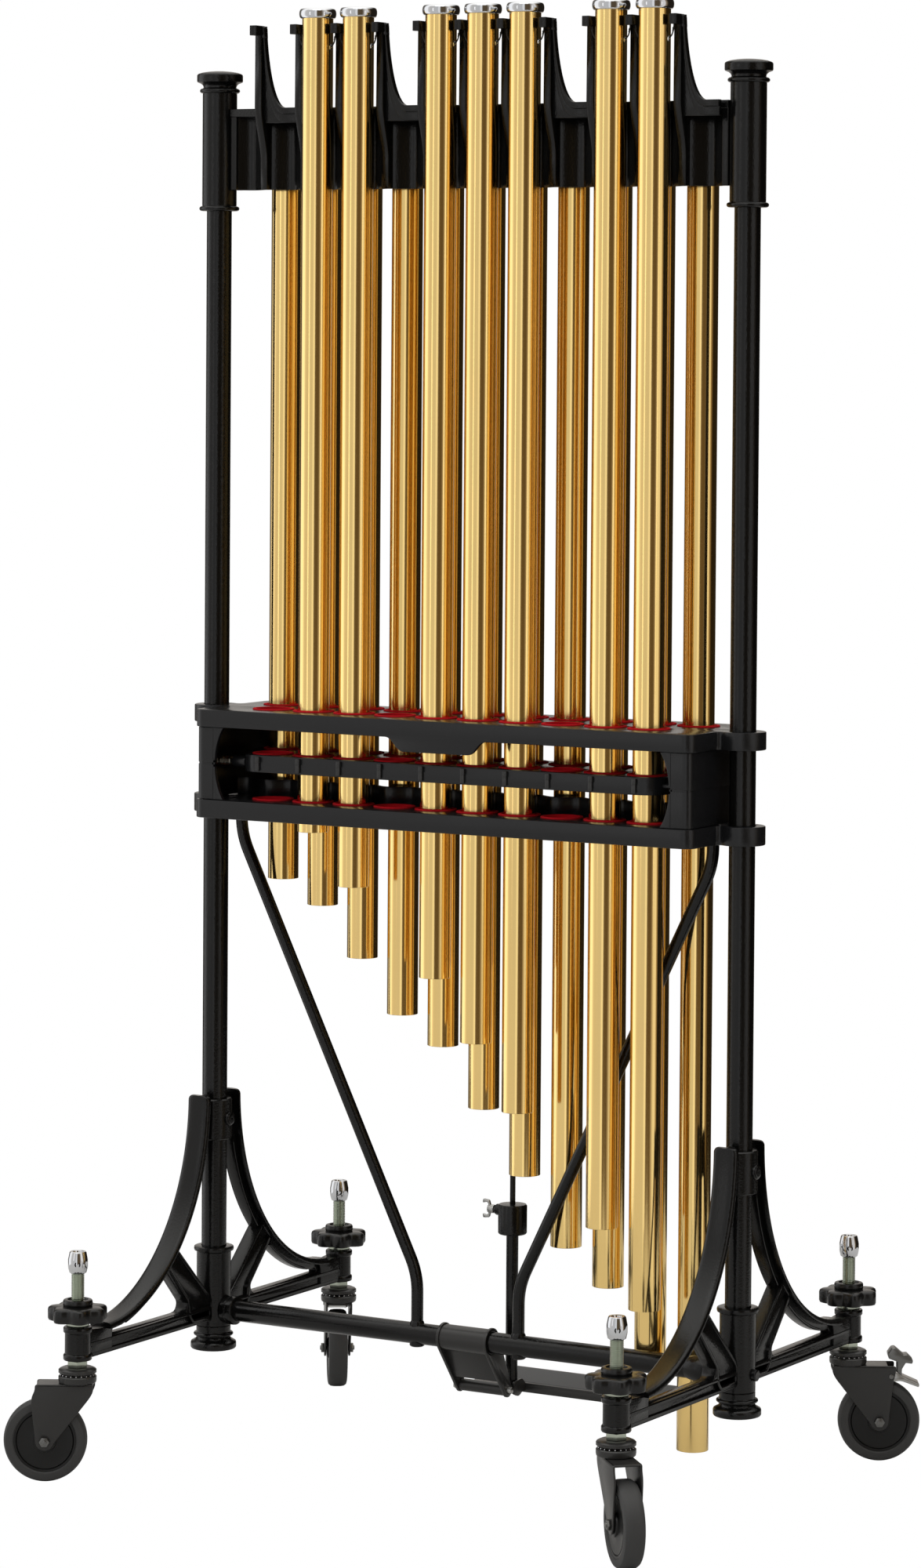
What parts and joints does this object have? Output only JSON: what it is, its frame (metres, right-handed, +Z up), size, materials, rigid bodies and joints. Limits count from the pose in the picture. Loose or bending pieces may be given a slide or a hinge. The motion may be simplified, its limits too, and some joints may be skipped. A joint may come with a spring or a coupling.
{
  "type": "tubular bells",
  "caption": "Chromatic set of hanging brass chimes in two rows on a wheeled frame, with a through-hole damper box worked by a foot pedal",
  "frame": {"origin": "on the floor under the middle of the crossbar, midway between the two posts", "axes": "X runs to the right as the audience sees it, towards the longest chimes; Y runs from the audience side to the pedal side; Z is up"},
  "size_m": [0.8974, 0.7439, 1.769],
  "materials": {
    "brass": "brushed brass with a satin lacquer",
    "frame": "semi-gloss black powder coat with a light orange peel",
    "box": "fine matt black texture paint",
    "chrome": "bright chrome plate",
    "zinc": "yellowish zinc plate",
    "knob": "moulded black plastic",
    "tread": "dark grey rubber tread on a moulded hub",
    "steel": "plain drawn steel"
  },
  "bodies": {
    "frame": {"post_left": "frame", "post_right": "frame", "upper_sleeve_left": "frame", "upper_sleeve_right": "frame", "hanger_rail": "frame", "damper_upper_plate": "box", "damper_lower_plate": "box", "end_block_left": "box", "end_block_right": "box", "lower_frame": "frame", "pedal_bracket": "frame", "pedal_pin": "steel", "leg_left": "frame", "leg_right": "frame", "foot_left": "frame", "foot_right": "frame", "return_spring": "steel"},
    "damper_bar": {"damper_bar": "box"},
    "bell_crank": {"bell_crank": "steel"},
    "pull_link": {"pull_rod": "frame", "pull_tube": "frame", "clamp_collar": "frame"},
    "wing_screw": {"wing_screw": "chrome"},
    "pedal": {"pedal": "frame"},
    "chime_F6": {"chime_F6": "brass"},
    "chime_E6": {"chime_E6": "brass"},
    "chime_D6": {"chime_D6": "brass"},
    "chime_C6": {"chime_C6": "brass"},
    "chime_B5": {"chime_B5": "brass"},
    "chime_A5": {"chime_A5": "brass"},
    "chime_G5": {"chime_G5": "brass"},
    "chime_F5": {"chime_F5": "brass"},
    "chime_E5": {"chime_E5": "brass"},
    "chime_D5": {"chime_D5": "brass"},
    "chime_C5": {"chime_C5": "brass"},
    "chime_Ds6": {"chime_Ds6": "brass"},
    "chime_Cs6": {"chime_Cs6": "brass"},
    "chime_As5": {"chime_As5": "brass"},
    "chime_Gs5": {"chime_Gs5": "brass"},
    "chime_Fs5": {"chime_Fs5": "brass"},
    "chime_Ds5": {"chime_Ds5": "brass"},
    "chime_Cs5": {"chime_Cs5": "brass"},
    "spindle_front_left": {"spindle_front_left": "zinc"},
    "star_knob_front_left": {"star_knob_front_left": "knob"},
    "fork_front_left": {"fork_front_left": "frame"},
    "wheel_front_left": {"wheel_front_left": "tread"},
    "spindle_front_right": {"spindle_front_right": "zinc"},
    "star_knob_front_right": {"star_knob_front_right": "knob"},
    "fork_front_right": {"fork_front_right": "frame"},
    "wheel_front_right": {"wheel_front_right": "tread"},
    "spindle_rear_left": {"spindle_rear_left": "zinc"},
    "star_knob_rear_left": {"star_knob_rear_left": "knob"},
    "fork_rear_left": {"fork_rear_left": "frame"},
    "wheel_rear_left": {"wheel_rear_left": "tread"},
    "brake_lever_rear_left": {"brake_lever_rear_left": "steel"},
    "spindle_rear_right": {"spindle_rear_right": "zinc"},
    "star_knob_rear_right": {"star_knob_rear_right": "knob"},
    "fork_rear_right": {"fork_rear_right": "frame"},
    "wheel_rear_right": {"wheel_rear_right": "tread"},
    "brake_lever_rear_right": {"brake_lever_rear_right": "steel"}
  },
  "joints": [
    {"name": "swing_F6", "type": "hinge", "parent": "frame", "child": "chime_F6", "pos_m": [-0.29, 0.035, 1.6107], "axis": [1, 0, 0], "range_deg": [-0.1, 0.1]},
    {"name": "swing_E6", "type": "hinge", "parent": "frame", "child": "chime_E6", "pos_m": [-0.232, 0.035, 1.6107], "axis": [1, 0, 0], "range_deg": [-0.1, 0.1]},
    {"name": "swing_D6", "type": "hinge", "parent": "frame", "child": "chime_D6", "pos_m": [-0.174, 0.035, 1.6107], "axis": [1, 0, 0], "range_deg": [-0.1, 0.1]},
    {"name": "swing_C6", "type": "hinge", "parent": "frame", "child": "chime_C6", "pos_m": [-0.116, 0.035, 1.6107], "axis": [1, 0, 0], "range_deg": [-0.1, 0.1]},
    {"name": "swing_B5", "type": "hinge", "parent": "frame", "child": "chime_B5", "pos_m": [-0.058, 0.035, 1.6107], "axis": [1, 0, 0], "range_deg": [-0.1, 0.1]},
    {"name": "swing_A5", "type": "hinge", "parent": "frame", "child": "chime_A5", "pos_m": [0, 0.035, 1.6107], "axis": [1, 0, 0], "range_deg": [-0.1, 0.1]},
    {"name": "swing_G5", "type": "hinge", "parent": "frame", "child": "chime_G5", "pos_m": [0.058, 0.035, 1.6107], "axis": [1, 0, 0], "range_deg": [-0.1, 0.1]},
    {"name": "swing_F5", "type": "hinge", "parent": "frame", "child": "chime_F5", "pos_m": [0.116, 0.035, 1.6107], "axis": [1, 0, 0], "range_deg": [-0.1, 0.1]},
    {"name": "swing_E5", "type": "hinge", "parent": "frame", "child": "chime_E5", "pos_m": [0.174, 0.035, 1.6107], "axis": [1, 0, 0], "range_deg": [-0.1, 0.1]},
    {"name": "swing_D5", "type": "hinge", "parent": "frame", "child": "chime_D5", "pos_m": [0.232, 0.035, 1.6107], "axis": [1, 0, 0], "range_deg": [-0.1, 0.1]},
    {"name": "swing_C5", "type": "hinge", "parent": "frame", "child": "chime_C5", "pos_m": [0.29, 0.035, 1.6107], "axis": [1, 0, 0], "range_deg": [-0.1, 0.1]},
    {"name": "swing_Ds6", "type": "hinge", "parent": "frame", "child": "chime_Ds6", "pos_m": [-0.203, -0.035, 1.7387], "axis": [1, 0, 0], "range_deg": [-0.1, 0.1]},
    {"name": "swing_Cs6", "type": "hinge", "parent": "frame", "child": "chime_Cs6", "pos_m": [-0.145, -0.035, 1.7387], "axis": [1, 0, 0], "range_deg": [-0.1, 0.1]},
    {"name": "swing_As5", "type": "hinge", "parent": "frame", "child": "chime_As5", "pos_m": [-0.029, -0.035, 1.7387], "axis": [1, 0, 0], "range_deg": [-0.1, 0.1]},
    {"name": "swing_Gs5", "type": "hinge", "parent": "frame", "child": "chime_Gs5", "pos_m": [0.029, -0.035, 1.7387], "axis": [1, 0, 0], "range_deg": [-0.1, 0.1]},
    {"name": "swing_Fs5", "type": "hinge", "parent": "frame", "child": "chime_Fs5", "pos_m": [0.087, -0.035, 1.7387], "axis": [1, 0, 0], "range_deg": [-0.1, 0.1]},
    {"name": "swing_Ds5", "type": "hinge", "parent": "frame", "child": "chime_Ds5", "pos_m": [0.203, -0.035, 1.7387], "axis": [1, 0, 0], "range_deg": [-0.1, 0.1]},
    {"name": "swing_Cs5", "type": "hinge", "parent": "frame", "child": "chime_Cs5", "pos_m": [0.261, -0.035, 1.7387], "axis": [1, 0, 0], "range_deg": [-0.1, 0.1]},
    {"name": "pedal_press", "type": "hinge", "parent": "frame", "child": "pedal", "pos_m": [0, 0.04, 0.094], "axis": [1, 0, 0], "range_deg": [-6.1, 0], "stiffness_Nm_per_rad": 6, "springref_deg": 14.32},
    {"name": "pull_travel", "type": "slide", "parent": "frame", "child": "pull_link", "axis": [0, 0, 1], "range_m": [-0.0028, 0]},
    {"name": "crank_turn", "type": "hinge", "parent": "frame", "child": "bell_crank", "pos_m": [0.044, 0.066, 0.82], "axis": [0, 1, 0], "range_deg": [-8, 0]},
    {"name": "bar_slide", "type": "slide", "parent": "frame", "child": "damper_bar", "axis": [1, 0, 0], "range_m": [-0.0028, 0], "deforming": ["return_spring"]},
    {"name": "wing_screw_turn", "type": "hinge", "parent": "pull_link", "child": "wing_screw", "pos_m": [0, 0.066, 0.308], "axis": [1, 0, 0], "continuous": true},
    {"name": "height_front_left", "type": "slide", "parent": "frame", "child": "spindle_front_left", "axis": [0, 0, 1], "range_m": [-0.03, 0]},
    {"name": "knob_turn_front_left", "type": "hinge", "parent": "frame", "child": "star_knob_front_left", "pos_m": [-0.367, -0.297, 0.2], "axis": [0, 0, 1], "continuous": true},
    {"name": "swivel_front_left", "type": "hinge", "parent": "spindle_front_left", "child": "fork_front_left", "pos_m": [-0.367, -0.297, 0.12], "axis": [0, 0, 1], "continuous": true},
    {"name": "roll_front_left", "type": "hinge", "parent": "fork_front_left", "child": "wheel_front_left", "pos_m": [-0.39991, -0.316, 0.05], "axis": [0.5, -0.866, 0], "continuous": true},
    {"name": "height_front_right", "type": "slide", "parent": "frame", "child": "spindle_front_right", "axis": [0, 0, 1], "range_m": [-0.03, 0]},
    {"name": "knob_turn_front_right", "type": "hinge", "parent": "frame", "child": "star_knob_front_right", "pos_m": [0.367, -0.297, 0.2], "axis": [0, 0, 1], "continuous": true},
    {"name": "swivel_front_right", "type": "hinge", "parent": "spindle_front_right", "child": "fork_front_right", "pos_m": [0.367, -0.297, 0.12], "axis": [0, 0, 1], "continuous": true},
    {"name": "roll_front_right", "type": "hinge", "parent": "fork_front_right", "child": "wheel_front_right", "pos_m": [0.3934, -0.32433, 0.05], "axis": [0.7193, 0.6947, 0], "continuous": true},
    {"name": "height_rear_left", "type": "slide", "parent": "frame", "child": "spindle_rear_left", "axis": [0, 0, 1], "range_m": [-0.03, 0]},
    {"name": "knob_turn_rear_left", "type": "hinge", "parent": "frame", "child": "star_knob_rear_left", "pos_m": [-0.367, 0.297, 0.2], "axis": [0, 0, 1], "continuous": true},
    {"name": "swivel_rear_left", "type": "hinge", "parent": "spindle_rear_left", "child": "fork_rear_left", "pos_m": [-0.367, 0.297, 0.12], "axis": [0, 0, 1], "continuous": true},
    {"name": "roll_rear_left", "type": "hinge", "parent": "fork_rear_left", "child": "wheel_rear_left", "pos_m": [-0.38825, 0.3285, 0.05], "axis": [-0.829, -0.5592, 0], "continuous": true},
    {"name": "brake_rear_left", "type": "hinge", "parent": "fork_rear_left", "child": "brake_lever_rear_left", "pos_m": [-0.39608, 0.34011, 0.106], "axis": [-0.829, -0.5592, 0], "range_deg": [-5, 8]},
    {"name": "height_rear_right", "type": "slide", "parent": "frame", "child": "spindle_rear_right", "axis": [0, 0, 1], "range_m": [-0.03, 0]},
    {"name": "knob_turn_rear_right", "type": "hinge", "parent": "frame", "child": "star_knob_rear_right", "pos_m": [0.367, 0.297, 0.2], "axis": [0, 0, 1], "continuous": true},
    {"name": "swivel_rear_right", "type": "hinge", "parent": "spindle_rear_right", "child": "fork_rear_right", "pos_m": [0.367, 0.297, 0.12], "axis": [0, 0, 1], "continuous": true},
    {"name": "roll_rear_right", "type": "hinge", "parent": "fork_rear_right", "child": "wheel_rear_right", "pos_m": [0.39991, 0.316, 0.05], "axis": [-0.5, 0.866, 0], "continuous": true},
    {"name": "brake_rear_right", "type": "hinge", "parent": "fork_rear_right", "child": "brake_lever_rear_right", "pos_m": [0.41203, 0.323, 0.106], "axis": [-0.5, 0.866, 0], "range_deg": [-5, 8]}
  ],
  "couplings": [
    {"joint": "pull_travel", "follows": "pedal_press", "m_per_rad": 0.026},
    {"joint": "crank_turn", "follows": "pedal_press", "ratio": 1.3},
    {"joint": "bar_slide", "follows": "pedal_press", "m_per_rad": 0.026}
  ]
}
